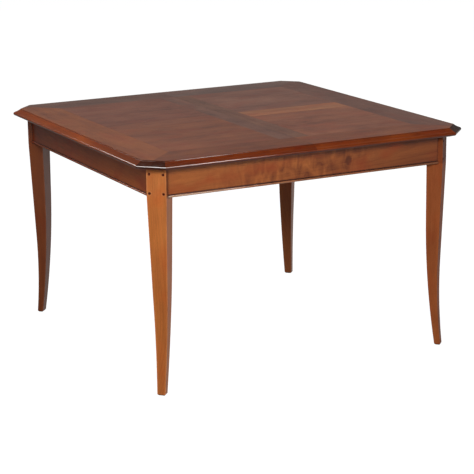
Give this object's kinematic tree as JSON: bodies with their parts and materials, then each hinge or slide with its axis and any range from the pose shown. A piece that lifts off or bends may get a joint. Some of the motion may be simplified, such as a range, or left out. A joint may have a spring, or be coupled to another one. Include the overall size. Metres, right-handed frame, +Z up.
{
  "type": "extending dining table",
  "caption": "Square wooden dining table with canted corners, sabre legs and pegged aprons; the top parts at a seam and its halves slide apart on runners.",
  "frame": {"origin": "on the floor under the middle of the table, at rest with the top closed", "axes": "+Z up; +X along the sliding direction, towards the right half top; the front apron faces -Y"},
  "size_m": [1.19, 1.19, 0.76],
  "materials": {
    "cherry_leg": "satin varnish",
    "cherry_apron": "satin varnish",
    "cherry_border": "satin varnish",
    "cherry_panel": "satin varnish",
    "cherry_stile": "satin varnish",
    "dark_peg": "oiled end grain",
    "beech": "bare planed wood",
    "steel": "zinc plated"
  },
  "bodies": {
    "frame": {"leg_front_left": "cherry_leg", "leg_front_right": "cherry_leg", "leg_back_left": "cherry_leg", "leg_back_right": "cherry_leg", "apron_front": "cherry_apron", "apron_back": "cherry_apron", "apron_left": "cherry_apron", "apron_right": "cherry_apron", "leg_pegs": "dark_peg", "guide_beam_front": "beech", "guide_beam_back": "beech", "cross_rail": "beech", "cross_rail_screws": "steel"},
    "left_top": {"left_end_border": "cherry_border", "left_front_border": "cherry_border", "left_back_border": "cherry_border", "left_seam_stile": "cherry_stile", "left_middle_rail": "cherry_border", "left_front_panel": "cherry_panel", "left_back_panel": "cherry_panel", "left_mitre_splines": "beech", "left_runner_front": "beech", "left_runner_back": "beech", "left_runner_screws": "steel", "left_catch_pivots": "steel"},
    "right_top": {"right_end_border": "cherry_border", "right_front_border": "cherry_border", "right_back_border": "cherry_border", "right_seam_stile": "cherry_stile", "right_middle_rail": "cherry_border", "right_front_panel": "cherry_panel", "right_back_panel": "cherry_panel", "right_mitre_splines": "beech", "right_runner_front": "beech", "right_runner_back": "beech", "right_runner_screws": "steel", "right_catch_studs": "steel", "seam_pegs": "beech"},
    "front_catch": {"catch_front": "steel"},
    "back_catch": {"catch_back": "steel"}
  },
  "joints": [
    {"name": "left_top_slide", "type": "slide", "parent": "frame", "child": "left_top", "axis": [-1, 0, 0], "range_m": [0, 0.25]},
    {"name": "right_top_slide", "type": "slide", "parent": "frame", "child": "right_top", "axis": [1, 0, 0], "range_m": [0, 0.25]},
    {"name": "front_catch_swing", "type": "hinge", "parent": "left_top", "child": "front_catch", "pos_m": [-0.03, -0.18, 0.7315], "axis": [0, 0, 1], "range_deg": [0, 90]},
    {"name": "back_catch_swing", "type": "hinge", "parent": "left_top", "child": "back_catch", "pos_m": [-0.03, 0.18, 0.7315], "axis": [0, 0, -1], "range_deg": [0, 90]}
  ]
}
